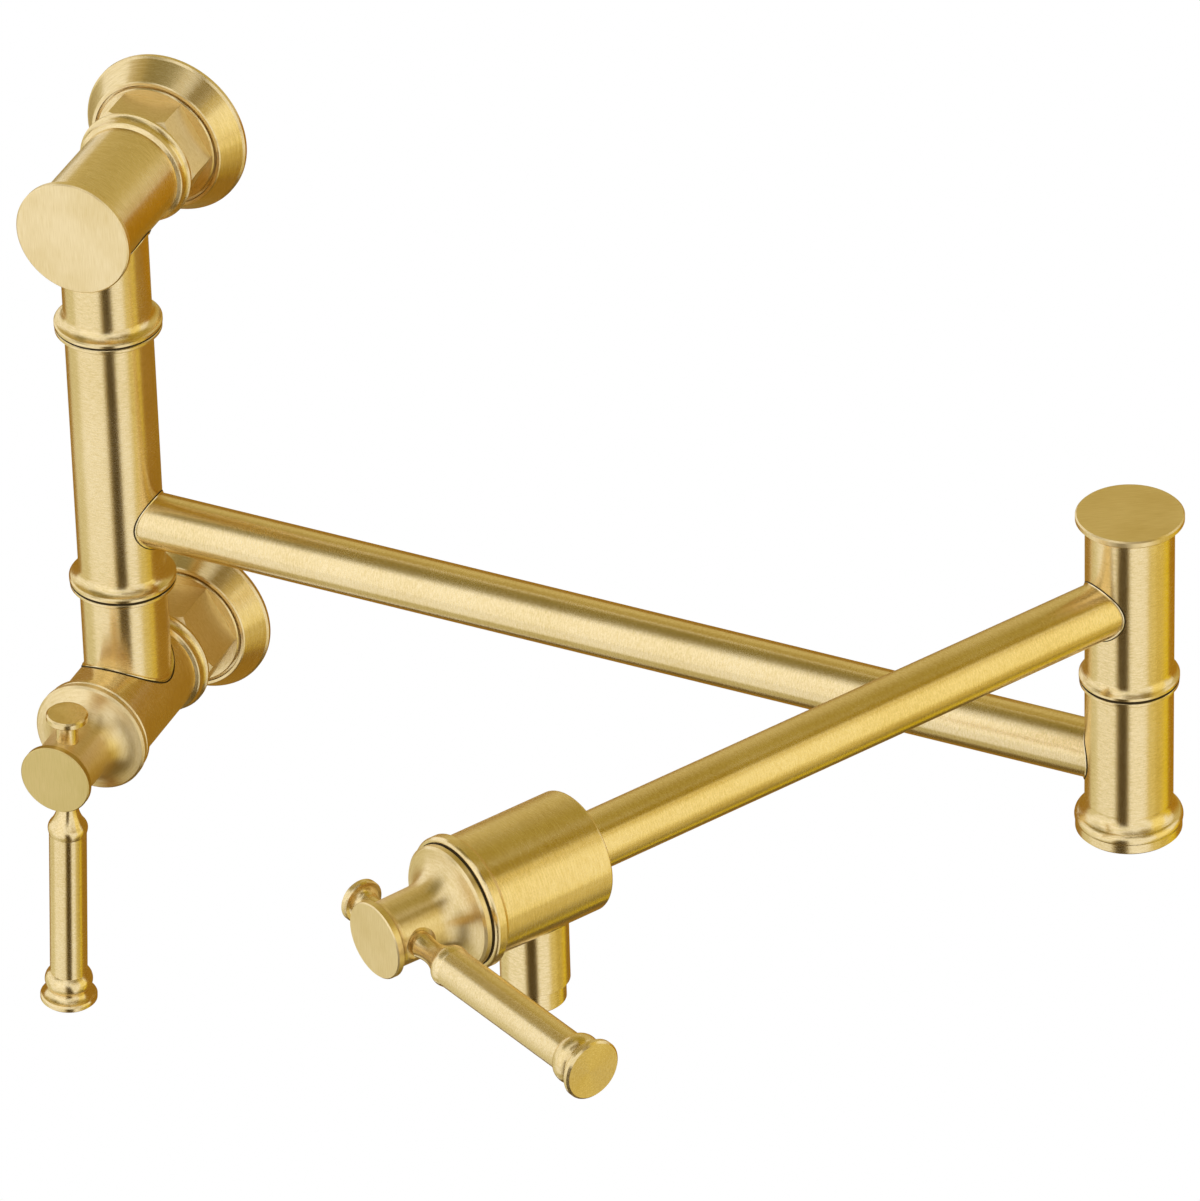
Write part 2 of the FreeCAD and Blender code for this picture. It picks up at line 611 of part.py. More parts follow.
valve = lathe("valve_turned", (
    ("tube_rad + fit_gap", "valve_rear"),
    ("valve_rad - 1", "valve_rear", "-1.2"),
    ("valve_rad", "valve_rear + 1"),
    ("valve_rad", "valve_front - valve_bead_wide"),
    ("valve_bead - 0.8", "valve_front - valve_bead_wide + 1.1"),
    ("valve_bead", "valve_front - valve_bead_wide + 2.1"),
    ("valve_bead", "valve_front - 1.3", "-1.6"),
    ("valve_bead - 1.2", "valve_front"),
    ("valve_bore", "valve_front"),
    ("valve_bore", "nozzle_at - 3"),
    ("tube_rad - tube_wall", "nozzle_at - 3"),
    ("tube_rad - tube_wall", "valve_rear + socket_deep"),
    ("tube_rad + fit_gap", "valve_rear + socket_deep"),
), ARM_TWO)
NOZZLE = along_spout("nozzle_at", "0", UPRIGHT)
DROP = along_spout("nozzle_at", "arm_two_z", ("0", "180", "0"))
keep(cut("spout_valve_body", valve,
         rod("drop_port", "nozzle_bore - 1.5", "0", "valve_rad + 2", DROP)))
nozzle = lathe("nozzle_turned", (
    ("nozzle_bore", "arm_two_z - nozzle_drop"),
    ("nozzle_rad - 0.4", "arm_two_z - nozzle_drop"),
    ("nozzle_rad", "arm_two_z - nozzle_drop + 0.4"),
    ("nozzle_rad", "arm_two_z - valve_rad * 0.6"),
    ("nozzle_bore", "arm_two_z - valve_rad * 0.6"),
), NOZZLE)
keep(cut("nozzle", nozzle,
         rod("nozzle_cope", "valve_rad + face_gap", "nozzle_at - 20", "nozzle_at + 20",
             ARM_TWO)))
keep(lathe("aerator_housing", (
    ("aerator_bore", "arm_two_z - aerator_drop"),
    ("aerator_rad - 0.8", "arm_two_z - aerator_drop"),
    ("aerator_rad", "arm_two_z - aerator_drop + 0.8"),
    ("aerator_rad", "arm_two_z - nozzle_drop - face_gap"),
    ("nozzle_bore - fit_gap", "arm_two_z - nozzle_drop - face_gap"),
    ("nozzle_bore - fit_gap", "arm_two_z - nozzle_drop + 5.5"),
    ("aerator_bore", "arm_two_z - nozzle_drop + 5.5"),
), NOZZLE))


def round_hole(sketch, across, radius):
    """A bound circle on the sketch's x axis."""
    number = sketch.addGeometry(Part.Circle(FreeCAD.Vector(amount(across), 0, 0),
                                            FreeCAD.Vector(0, 0, 1), amount(radius)), False)
    if across == "0":
        sketch.addConstraint(Sketcher.Constraint("Coincident", number, 3, -1, 1))
    else:
        sketch.addConstraint(Sketcher.Constraint("PointOnObject", number, 3, -1))
        spot = sketch.addConstraint(Sketcher.Constraint(
            "DistanceX", -1, 1, number, 3, amount(across)))
        sketch.setExpression("Constraints[%d]" % spot, bound(across))
    size = sketch.addConstraint(Sketcher.Constraint("Radius", number, amount(radius)))
    sketch.setExpression("Constraints[%d]" % size, bound(radius))


def flat_sketch(body, name, *circles):
    sketch = body.newObject("Sketcher::SketchObject", name)
    plane = [item for item in body.Origin.OriginFeatures if item.Role == "XY_Plane"][0]
    sketch.AttachmentSupport = [(plane, "")]
    sketch.MapMode = "FlatFace"
    for across, radius in circles:
        round_hole(sketch, across, radius)
    return sketch


screen = doc.addObject("PartDesign::Body", "aerator_insert")
screen_disc = screen.newObject("PartDesign::Pad", "screen_disc")
screen_disc.Profile = flat_sketch(screen, "screen_edge", ("0", "aerator_bore - fit_gap"))
screen_disc.Length = 3
doc.recompute()
screen.Tip = screen_disc
for number, (ring, jets) in enumerate((("aerator_bore * 0.32", 6), ("aerator_bore * 0.74", 12))):
    jet = screen.newObject("PartDesign::Pocket", "jet_%d" % number)
    jet.Profile = flat_sketch(screen, "jet_circle_%d" % number, (ring, "0.8"))
    jet.Type = 1
    jet.Midplane = True
    fan = screen.newObject("PartDesign::PolarPattern", "jets_%d" % number)
    fan.Originals = [jet]
    fan.Axis = (jet.Profile[0], ["N_Axis"])
    fan.Angle = 360
    fan.Occurrences = jets
    screen.Tip = fan
    doc.recompute()
place(screen, (NOZZLE[0][0], NOZZLE[0][1], "arm_two_z - aerator_drop + 1.2"))
keep(screen)


# -------------------------------------------------------------------- handles
def lever_handle(prefix, base, axis, lever, finial, spindle_back):
    """Hub, front disc, screw, spindle, lever and finial of one handle.

    axis places the hub, lever and finial place the two radial pieces, and
    spindle_back is how far the spindle reaches behind the hub base."""
    hub = lathe(prefix + "_hub_turned", (
        ("spindle_rad + fit_gap", "0"),
        ("hub_rad - 0.5", "0"),
        ("hub_rad", "0.5"),
        ("hub_rad", "hub_rim - 0.8"),
        ("hub_rad - 0.8", "hub_rim"),
        ("stem_rad + bell_sweep * 0.78", "hub_rim + 0.35", "bell_sweep"),
        ("stem_rad", "hub_rim + bell_sweep * 0.98"),
        ("stem_rad - 0.2", "stem_len - 2.4", "2.6"),
        ("cap_rad - 0.6", "stem_len"),
        ("spindle_rad + 0.7", "stem_len"),
        ("spindle_rad + 0.7", "screw_seat"),
        ("screw_rad + fit_gap", "screw_seat"),
        ("screw_rad + fit_gap", "12"),
        ("spindle_rad + fit_gap", "12"),
    ), axis)
    keep(cut(prefix + "_hub", hub,
             rod(prefix + "_neck_hole", "neck_rad + fit_gap", "spindle_rad", "stem_rad + 2", lever),
             rod(prefix + "_neck_sink", "neck_rad + 1.3", "stem_rad - 1.7", "stem_rad + 2",
                 lever),
             rod(prefix + "_finial_hole", "finial_neck + fit_gap", "spindle_rad", "stem_rad + 2",
                 finial)))
    keep(lathe(prefix + "_cap", (
        ("0", "lever_at + neck_rad + 0.3"),
        ("spindle_rad + 0.7 - fit_gap", "lever_at + neck_rad + 0.3"),
        ("spindle_rad + 0.7 - fit_gap", "stem_len + face_gap"),
        ("cap_rad - 0.6", "stem_len + face_gap"),
        ("cap_rad", "stem_len + face_gap + 0.6"),
        ("cap_rad", "stem_len + cap_thick - 0.4"),
        ("cap_rad - 0.4", "stem_len + cap_thick"),
        ("0", "stem_len + cap_thick"),
    ), axis))
    keep(lathe(prefix + "_screw", (
        ("0", "4"),
        ("screw_rad", "4"),
        ("screw_rad", "screw_seat + face_gap"),
        ("spindle_rad + 0.5", "screw_seat + face_gap"),
        ("spindle_rad + 0.5", "screw_seat + 2.8"),
        ("1.5", "screw_seat + 2.8"),
        ("1.5", "screw_seat + 1.2"),
        ("0", "screw_seat + 1.2"),
    ), axis))
    keep(lathe(prefix + "_spindle", (
        ("0", spindle_back),
        ("spindle_rad", spindle_back),
        ("spindle_rad", "11.8"),
        ("screw_rad + fit_gap", "11.8"),
        ("screw_rad + fit_gap", "3"),
        ("0", "3"),
    ), axis))
    keep(lathe(prefix + "_lever", (
        ("0", "5.2"),
        ("neck_rad", "5.2"),
        ("neck_rad", "stem_rad + 1", "14"),
        ("grip_rad - 0.5", "lever_bead - 2.4", "-3.4"),
        ("grip_rad + 0.25", "lever_bead + 0.6"),
        ("grip_rad + 0.1", "lever_bead + 1.4"),
        ("grip_rad - 0.1", "lever_bead + 2"),
        ("grip_rad - 0.1", "lever_len - 12.4", "-4.6"),
        ("grip_rad + 0.5", "lever_len - 5.4"),
        ("grip_rad + 0.5", "lever_len - 4.7", "3.2"),
        ("tip_rad - 0.5", "lever_len - 2.7"),
        ("tip_rad", "lever_len - 2"),
        ("tip_rad", "lever_len - 0.7"),
        ("tip_rad - 0.7", "lever_len"),
        ("0", "lever_len"),
    ), lever))
    keep(lathe(prefix + "_finial", (
        ("0", "5.2"),
        ("finial_neck", "5.2"),
        ("finial_neck", "finial_len - 5", "2.6"),
        ("finial_rad - 1.6", "finial_len - 2.9"),
        ("finial_rad - 0.4", "finial_len - 2.8"),
        ("finial_rad", "finial_len - 2.3"),
        ("finial_rad", "finial_len - 0.6"),
        ("finial_rad - 0.6", "finial_len"),
        ("0", "finial_len"),
    ), finial))


STOP_BASE = "(stop_front + hub_gap)"
STOP_AXIS = (("0", "-" + STOP_BASE, "0"), ("0", "0", "90"))
STOP_LEVER_AT = ("0", "-(%s + lever_at)" % STOP_BASE, "0")
lever_handle("lower_handle", STOP_BASE, STOP_AXIS,
             (STOP_LEVER_AT, ("0", "180 + lever_lean", "0")),
             (STOP_LEVER_AT, ("0", "lever_lean", "0")), "-hub_gap - 14")
SPOUT_BASE = "(valve_front + hub_gap)"
SPOUT_AXIS = along_spout(SPOUT_BASE, "arm_two_z", ARM_TWO[1])
SPOUT_LEVER = along_spout(SPOUT_BASE + " + lever_at", "arm_two_z", ("spout_angle + 180", "0", "90"))
SPOUT_FINIAL = along_spout(SPOUT_BASE + " + lever_at", "arm_two_z", ("spout_angle", "0", "90"))
lever_handle("spout_handle", SPOUT_BASE, SPOUT_AXIS, SPOUT_LEVER, SPOUT_FINIAL,
             "-hub_gap - 14")

# ------------------------------------------------------------- check and write
doc.recompute()
for item in doc.Objects:
    if "Invalid" in item.State or "Error" in item.State:
        raise RuntimeError("failed: " + item.Name)
os.makedirs("parts", exist_ok=True)
for node in nodes:
    shape = node.Shape
    if shape.isNull() or not shape.isValid() or not shape.Solids:
        raise RuntimeError("bad shape: " + node.Label)
    shape.exportStep("parts/" + node.Label + ".step")
    print("%-24s %9.1f mm3" % (node.Label, shape.Volume))
print(len(nodes), "nodes")
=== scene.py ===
import json
import math

import bpy
from mathutils import Matrix, Vector


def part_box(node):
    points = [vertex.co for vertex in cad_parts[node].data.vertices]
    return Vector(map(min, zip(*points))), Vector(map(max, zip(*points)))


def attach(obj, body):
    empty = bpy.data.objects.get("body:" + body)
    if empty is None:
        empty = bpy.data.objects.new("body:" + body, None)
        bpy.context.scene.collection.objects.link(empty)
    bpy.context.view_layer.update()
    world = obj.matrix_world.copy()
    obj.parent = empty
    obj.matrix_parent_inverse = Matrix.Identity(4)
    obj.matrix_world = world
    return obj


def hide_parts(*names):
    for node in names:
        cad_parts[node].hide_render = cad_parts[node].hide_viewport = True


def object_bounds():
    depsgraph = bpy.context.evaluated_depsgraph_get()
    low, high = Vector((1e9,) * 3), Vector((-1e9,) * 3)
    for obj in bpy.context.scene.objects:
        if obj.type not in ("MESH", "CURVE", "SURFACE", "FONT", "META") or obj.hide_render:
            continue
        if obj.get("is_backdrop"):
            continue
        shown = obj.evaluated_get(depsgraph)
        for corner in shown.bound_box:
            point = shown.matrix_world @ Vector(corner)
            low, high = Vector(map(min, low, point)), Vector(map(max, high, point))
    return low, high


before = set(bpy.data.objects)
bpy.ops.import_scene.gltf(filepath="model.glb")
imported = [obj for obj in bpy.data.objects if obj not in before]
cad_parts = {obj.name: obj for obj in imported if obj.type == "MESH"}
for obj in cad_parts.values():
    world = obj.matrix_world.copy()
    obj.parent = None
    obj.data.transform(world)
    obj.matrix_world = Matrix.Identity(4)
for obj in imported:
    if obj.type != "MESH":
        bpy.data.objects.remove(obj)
cad_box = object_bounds()

# ---- sizes and places on the object, in metres -------------------------------
# The origin is the lower inlet's axis on the wall plane; the wall lies along X.
UP = Vector((0.0, 0.0, 1.0))
FRONT = Vector((0.0, -1.0, 0.0))
SIDEWAYS = Vector((1.0, 0.0, 0.0))

INLET_PITCH = 0.2032
POST_OUT = 0.0551
ARM_SPAN = 0.3921
ARM_ONE_HEIGHT = 0.0765
ARM_TWO_HEIGHT = 0.1423
ARM_ONE_ANGLE = math.radians(-2.83)
SPOUT_ANGLE = math.radians(240.7)
# along the second arm, from the elbow's axis
VALVE_REAR = 0.2378
NOZZLE_AT = 0.2555
VALVE_FRONT_GAP = 0.28746
# along the lower inlet's axis, from the wall
BODY_FRONT_GAP = 0.08545

ARM_RADIUS = 0.0101
POST_RADIUS = 0.0158
ELBOW_RADIUS = 0.0153
BARREL_RADIUS = 0.0186
VALVE_RADIUS = 0.02115
NOZZLE_RADIUS = 0.01165

ARM_ONE = Vector((math.cos(ARM_ONE_ANGLE), math.sin(ARM_ONE_ANGLE), 0.0))
SPOUT = Vector((math.cos(SPOUT_ANGLE), math.sin(SPOUT_ANGLE), 0.0))
LOWER_INLET = Vector((0.0, 0.0, 0.0))
UPPER_INLET = UP * INLET_PITCH
WALL_POST = FRONT * POST_OUT
ELBOW = WALL_POST + ARM_ONE * ARM_SPAN
ARM_ONE_START = WALL_POST + UP * ARM_ONE_HEIGHT
ARM_ONE_END = ELBOW + UP * ARM_ONE_HEIGHT
ARM_TWO_START = ELBOW + UP * ARM_TWO_HEIGHT


def lever_line(name, axis):
    """The axis of a lever: through the middle of its box."""
    low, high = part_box(name)
    return (low + high) / 2, axis


# the axes that the pieces are turned about: a point and a direction each
LINES = {
    "lower_inlet": (LOWER_INLET, FRONT),
    "upper_inlet": (UPPER_INLET, FRONT),
    "post": (WALL_POST, UP),
    "elbow": (ELBOW, UP),
    "arm_one": (ARM_ONE_START, ARM_ONE),
    "arm_two": (ARM_TWO_START, SPOUT),
    "nozzle": (ELBOW + SPOUT * NOZZLE_AT, UP),
    "lower_lever": lever_line("lower_handle_lever", UP),
    "spout_lever": lever_line("spout_handle_lever", UP.cross(SPOUT)),
}


# ---- node helper ---------------------------------------------------------------
class Tree:
    """Short calls for building the nodes of a material or a world."""

    def __init__(self, owner):
        owner.use_nodes = True
        self.owner = owner
        self.nodes = owner.node_tree.nodes
        self.links = owner.node_tree.links
        self.shader = self.nodes.get("Principled BSDF")

    def add(self, kind, **settings):
        node = self.nodes.new(kind)
        for key, value in settings.items():
            setattr(node, key, value)
        return node

    def feed(self, socket, value):
        """Link another node's output to a socket, or set a plain value on it."""
        if isinstance(value, bpy.types.NodeSocket):
            self.links.new(value, socket)
        else:
            socket.default_value = value

    def maths(self, operation, *values):
        node = self.add("ShaderNodeMath", operation=operation)
        for socket, value in zip(node.inputs, values):
            self.feed(socket, value)
        return node.outputs[0]

    def vector(self, operation, *values):
        node = self.add("ShaderNodeVectorMath", operation=operation)
        for socket, value in zip(node.inputs, values):
            self.feed(socket, value)
        if operation in ("DOT_PRODUCT", "LENGTH"):
            return node.outputs["Value"]
        return node.outputs["Vector"]

    def join(self, x, y, z):
        node = self.add("ShaderNodeCombineXYZ")
        for socket, value in zip(node.inputs, (x, y, z)):
            self.feed(socket, value)
        return node.outputs[0]

    def place(self):
        """The point on the object, in metres."""
        return self.add("ShaderNodeTexCoord").outputs["Object"]

    def noise(self, place, scale, detail=2.0, roughness=0.5):
        node = self.add("ShaderNodeTexNoise")
        self.feed(node.inputs["Vector"], place)
        node.inputs["Scale"].default_value = scale
        node.inputs["Detail"].default_value = detail
        node.inputs["Roughness"].default_value = roughness
        return node.outputs["Fac"]

    def blend(self, *parts):
        """The sum of values, each times its share."""
        shares = [self.maths("MULTIPLY", value, share) for value, share in parts]
        total = shares[0]
        for share in shares[1:]:
            total = self.maths("ADD", total, share)
        return total

    def ramp(self, value, *stops):
        node = self.add("ShaderNodeValToRGB")
        self.feed(node.inputs[0], value)
        elements = node.color_ramp.elements
        while len(elements) < len(stops):
            elements.new(0.5)
        for element, (spot, colour) in zip(elements, stops):
            element.position = spot
            element.color = (*colour, 1.0)
        return node.outputs[0]

    def spread(self, value, low, high):
        """A value between 0 and 1 stretched to run from low to high."""
        node = self.add("ShaderNodeMapRange")
        self.feed(node.inputs["Value"], value)
        node.inputs["To Min"].default_value = low
        node.inputs["To Max"].default_value = high
        return node.outputs[0]

    def bump(self, height, distance, under=None):
        node = self.add("ShaderNodeBump")
        self.feed(node.inputs["Height"], height)
        node.inputs["Distance"].default_value = distance
        if under is not None:
            self.links.new(under, node.inputs["Normal"])
        return node.outputs[0]

    def end(self, shader):
        """Use a shader as the surface."""
        self.links.new(shader, self.nodes["Material Output"].inputs["Surface"])


def new_material(name):
    return Tree(bpy.data.materials.new(name))


# ---- metals ------------------------------------------------------------------
# a finish is its darker colour, its paler colour and its roughness
GOLD_DEEP = (0.790, 0.615, 0.295)
GOLD_PALE = (0.930, 0.765, 0.455)
BRUSHED = (GOLD_DEEP, GOLD_PALE, 0.26)
SATIN = (GOLD_DEEP, GOLD_PALE, 0.36)
DISC = (GOLD_DEEP, GOLD_PALE, 0.33)
# the disc gold darkened to paint the shade that falls on the lower handle's cap
PAINTED_SHADE_DISC = ((0.59, 0.46, 0.16), (0.68, 0.53, 0.22), 0.33)
RAW_BRASS = ((0.50, 0.33, 0.11), (0.72, 0.52, 0.22), 0.34)
BRIGHT_SOLDER = ((0.90, 0.76, 0.47), (0.97, 0.85, 0.58), 0.20)
WARM_SOLDER = ((0.86, 0.70, 0.38), (0.95, 0.80, 0.50), 0.22)


def turned_gold(name, line, finish=BRUSHED):
    """Gold brushed on a lathe: fine rings about a line."""
    point, axis = line
    deep, pale, rough = finish
    t = new_material(name)
    place = t.place()
    away = t.vector("SUBTRACT", place, tuple(point))
    along = t.vector("DOT_PRODUCT", away, tuple(axis))
    round_way = t.vector("CROSS_PRODUCT", tuple(axis), away)
    radius = t.vector("LENGTH", round_way)
    side = axis.orthogonal().normalized()
    angle = t.maths(
        "ARCTAN2",
        t.vector("DOT_PRODUCT", away, tuple(axis.cross(side))),
        t.vector("DOT_PRODUCT", away, tuple(side)),
    )
    # the angle counts for little, which draws the noise out into rings and strokes
    fine = t.noise(t.join(along, radius, t.maths("MULTIPLY", angle, 0.0011)), 7500.0, 3.0, 0.6)
    strokes = t.noise(t.join(along, radius, t.maths("MULTIPLY", angle, 0.0028)), 1900.0, 2.0)
    grain = t.noise(place, 1700.0, 2.0, 0.6)
    cloud = t.noise(place, 38.0, 3.0)
    tone = t.blend((strokes, 0.45), (grain, 0.30), (cloud, 0.25))
    gloss = t.maths("MULTIPLY", t.maths("ADD", fine, cloud), 0.5)
    t.feed(t.shader.inputs["Base Color"], t.ramp(tone, (0.38, deep), (0.62, pale)))
    t.feed(t.shader.inputs["Roughness"], t.spread(gloss, rough - 0.07, rough + 0.07))
    t.shader.inputs["Metallic"].default_value = 1.0
    t.shader.inputs["Anisotropic"].default_value = 0.75
    # the brushing's way on any face, also a flat or a conical one
    normal = t.add("ShaderNodeNewGeometry").outputs["Normal"]
    t.links.new(t.vector("CROSS_PRODUCT", normal, round_way), t.shader.inputs["Tangent"])
    lines = t.bump(fine, 0.000010)
    t.links.new(t.bump(t.maths("ADD", strokes, grain), 0.000006, under=lines), t.shader.inputs["Normal"])
    return t.owner


def lined_gold(name, along, across, finish=DISC):
    """Gold brushed in straight strokes along one way, on a flat face."""
    deep, pale, rough = finish
    t = new_material(name)
    place = t.place()
    long_way = t.vector("DOT_PRODUCT", place, tuple(along))
    wide_way = t.vector("DOT_PRODUCT", place, tuple(across))
    fine = t.noise(t.join(wide_way, t.maths("MULTIPLY", long_way, 0.022), 0.0), 6500.0, 3.0, 0.65)
    strokes = t.noise(t.join(wide_way, t.maths("MULTIPLY", long_way, 0.06), 0.0), 2600.0, 2.0)
    cloud = t.noise(place, 55.0, 3.0)
    tone = t.blend((strokes, 0.5), (cloud, 0.5))
    t.feed(t.shader.inputs["Base Color"], t.ramp(tone, (0.30, deep), (0.62, pale)))
    t.feed(t.shader.inputs["Roughness"], t.spread(fine, rough - 0.07, rough + 0.08))
    t.shader.inputs["Metallic"].default_value = 1.0
    t.shader.inputs["Anisotropic"].default_value = 0.4
    t.links.new(t.join(*across), t.shader.inputs["Tangent"])
    lines = t.bump(fine, 0.000009)
    t.links.new(t.bump(strokes, 0.000005, under=lines), t.shader.inputs["Normal"])
    return t.owner


# ---- rubber and plastic --------------------------------------------------------
BLACK_RUBBER = ((0.012, 0.012, 0.013), (0.030, 0.029, 0.028), 0.4)
# painted shade: the dark colour put into the narrow gaps of seams and grooves
GAP_SHADE = ((0.040, 0.026, 0.008), (0.070, 0.046, 0.016), 0.12)


def rubber_and_painted_shade(name, finish=BLACK_RUBBER):
    """Matt dark rubber, and also the painted shade in narrow gaps; a finish here is its darker and paler
    colour and its shine.
    """
    deep, pale, shine = finish
    t = new_material(name)
    place = t.place()
    grain = t.noise(place, 2600.0, 4.0, 0.6)
    cloud = t.noise(place, 120.0, 3.0)
    t.feed(t.shader.inputs["Base Color"], t.ramp(cloud, (0.3, deep), (0.75, pale)))
    t.feed(t.shader.inputs["Roughness"], t.spread(grain, 0.5, 0.75))
    t.shader.inputs["Specular IOR Level"].default_value = shine
    t.links.new(t.bump(grain, 0.00003), t.shader.inputs["Normal"])
    return t.owner


def moulded_white(name):
    """White moulded plastic with a fine grain."""
    t = new_material(name)
    place = t.place()
    grain = t.noise(place, 1800.0, 3.0)
    cloud = t.noise(place, 90.0, 3.0)
    colour = t.ramp(cloud, (0.3, (0.72, 0.71, 0.67)), (0.75, (0.82, 0.81, 0.78)))
    t.feed(t.shader.inputs["Base Color"], colour)
    t.feed(t.shader.inputs["Roughness"], t.spread(grain, 0.32, 0.48))
    t.shader.inputs["Subsurface Weight"].default_value = 0.08
    t.shader.inputs["Subsurface Scale"].default_value = 0.001
    t.links.new(t.bump(grain, 0.00002), t.shader.inputs["Normal"])
    return t.owner


# ---- the finish of every piece of the frame --------------------------------------
def dress(material, *names):
    for name in names:
        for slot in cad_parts[name].material_slots:
            slot.material = material


gold = {key: turned_gold("gold_about_" + key, line) for key, line in LINES.items()}
dress(gold["lower_inlet"], "lower_flange", "lower_body")
dress(gold["upper_inlet"], "upper_flange", "upper_body")
dress(gold["post"], "upper_stub", "lower_stub", "swivel_sleeve")
dress(gold["elbow"], "elbow_lower", "elbow_upper", "elbow_foot_plug")
dress(gold["arm_one"], "arm_1_tube")
dress(gold["arm_two"], "arm_2_tube", "spout_valve_body")
dress(gold["nozzle"], "nozzle", "aerator_housing")
dress(gold["lower_lever"], "lower_handle_lever", "lower_handle_finial")
dress(gold["spout_lever"], "spout_handle_lever", "spout_handle_finial")

dress(turned_gold("gold_nut_lower", LINES["lower_inlet"], SATIN), "lower_union_nut")
dress(turned_gold("gold_nut_upper", LINES["upper_inlet"], SATIN), "upper_union_nut")
dress(turned_gold("gold_hub_lower", LINES["lower_inlet"], SATIN), "lower_handle_hub")
dress(turned_gold("gold_hub_spout", LINES["arm_two"], SATIN), "spout_handle_hub")

LID_ANGLE = 0.5
lid_way = Vector((math.cos(LID_ANGLE), math.sin(LID_ANGLE), 0.0))
dress(lined_gold("gold_disc_front", UP, SIDEWAYS), "upper_front_cap")
# painted shade: the lower cap gets a darker copy of the disc gold
dress(lined_gold("gold_cap_lower_painted_shade", UP, SIDEWAYS, PAINTED_SHADE_DISC), "lower_handle_cap")
dress(lined_gold("gold_disc_spout", UP, UP.cross(SPOUT)), "spout_handle_cap")
dress(lined_gold("gold_lid", lid_way, UP.cross(lid_way)), "elbow_top_cap")

dress(
    turned_gold("brass_lower_inlet", LINES["lower_inlet"], RAW_BRASS),
    "lower_inlet_connector", "lower_cartridge", "lower_bonnet_nut", "lower_handle_spindle",
    "lower_handle_screw",
)
dress(turned_gold("brass_upper_inlet", LINES["upper_inlet"], RAW_BRASS), "upper_inlet_connector")
dress(
    turned_gold("brass_spout", LINES["arm_two"], RAW_BRASS),
    "spout_cartridge", "spout_bonnet_nut", "spout_handle_spindle", "spout_handle_screw",
)
dress(
    rubber_and_painted_shade("seal_rubber"),
    "lower_union_washer", "upper_union_washer", "lower_seal_rings", "elbow_seal_rings",
)
dress(
    moulded_white("white_moulding"),
    "aerator_insert", "lower_swivel_washer", "upper_swivel_washer", "elbow_swivel_washer",
)


# ---- pieces finer than the frame's -----------------------------------------------
SHARP_ANGLE = math.radians(35)


def ways_round(axis, count, first=None):
    """Angles and unit ways all round an axis, evenly spaced, from a first way on."""
    side = (axis.orthogonal() if first is None else first).normalized()
    other = axis.cross(side)
    for i in range(count):
        turn = math.tau * i / count
        yield turn, side * math.cos(turn) + other * math.sin(turn)


def tube_mesh(name, rings, material, body):
    """A shown piece whose closed skin runs through rings of equally many points."""
    count, around = len(rings), len(rings[0])
    faces = []
    for i in range(count):
        j = (i + 1) % count
        for k in range(around):
            m = (k + 1) % around
            faces.append((i * around + k, i * around + m, j * around + m, j * around + k))
    mesh = bpy.data.meshes.new(name)
    mesh.from_pydata([tuple(point) for ring in rings for point in ring], [], faces)
    mesh.polygons.foreach_set("use_smooth", [True] * len(mesh.polygons))
    mesh.set_sharp_from_angle(angle=SHARP_ANGLE)
    mesh.materials.append(material)
    piece = bpy.data.objects.new(name, mesh)
    bpy.context.scene.collection.objects.link(piece)
    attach(piece, body)
    return piece


def saddle_ring(name, body, material, base, away, radius, pillar, pillar_radius, bead):
    """A fine round bead where a tube running away from base leaves a pillar or a flat face."""
    rings = []
    for turn, out in ways_round(away, 96, pillar):
        rise = math.sqrt(max(pillar_radius ** 2 - (radius * math.sin(turn)) ** 2, 0.0))
        centre = base + out * radius + away * rise
        rings.append([
            centre + (out * math.cos(a) + away * math.sin(a)) * bead
            for a in (math.tau * k / 10 for k in range(10))
        ])
    tube_mesh(name, rings, material, body)


# ---- solder beads round the tubes' ends, each with a line of painted shade outside it ---
# painted shade for the gaps beside the solder beads and in the grooves
painted_gap_shade = rubber_and_painted_shade("crevice_dark", GAP_SHADE)
solder = {
    "arm_one": turned_gold("solder_arm_one", LINES["arm_one"], BRIGHT_SOLDER),
    "arm_two": turned_gold("solder_arm_two", LINES["arm_two"], BRIGHT_SOLDER),
    "nozzle": turned_gold("solder_nozzle", LINES["nozzle"], WARM_SOLDER),
    "post": turned_gold("solder_post", LINES["post"], WARM_SOLDER),
}
FINE_BEAD = 0.00045
BROAD_BEAD = 0.0006
VALVE_BACK = ARM_TWO_START + SPOUT * VALVE_REAR
NOZZLE_TOP = ARM_TWO_START + SPOUT * NOZZLE_AT
ON_POST = (UP, POST_RADIUS)
ON_ELBOW = (UP, ELBOW_RADIUS)
ON_BARREL = (FRONT, BARREL_RADIUS)
ON_VALVE = (SPOUT, VALVE_RADIUS)
ON_FLAT = (None, 0.0)
# name, body, solder, the tube's start, way and radius, what it leaves, bead
SEAMS = (
    ("arm_1_sleeve", "first_arm", "arm_one", ARM_ONE_START, ARM_ONE, ARM_RADIUS, ON_POST, FINE_BEAD),
    ("arm_1_elbow", "first_arm", "arm_one", ARM_ONE_END, -ARM_ONE, ARM_RADIUS, ON_ELBOW, FINE_BEAD),
    ("arm_2_elbow", "second_arm", "arm_two", ARM_TWO_START, SPOUT, ARM_RADIUS, ON_ELBOW, FINE_BEAD),
    ("arm_2_valve", "second_arm", "arm_two", VALVE_BACK, -SPOUT, ARM_RADIUS, ON_FLAT, BROAD_BEAD),
    ("nozzle", "second_arm", "nozzle", NOZZLE_TOP, -UP, NOZZLE_RADIUS, ON_VALVE, FINE_BEAD),
    ("lower_stub", "wall_body", "post", WALL_POST, UP, POST_RADIUS, ON_BARREL, BROAD_BEAD),
    ("upper_stub", "wall_body", "post", WALL_POST + UPPER_INLET, -UP, POST_RADIUS, ON_BARREL, BROAD_BEAD),
)
# how far outside the tube the bead and its line of painted shade lie, in beads
BEAD_OUT = 0.3
LINE_OUT = 1.35
LINE_LIFT = 0.00002

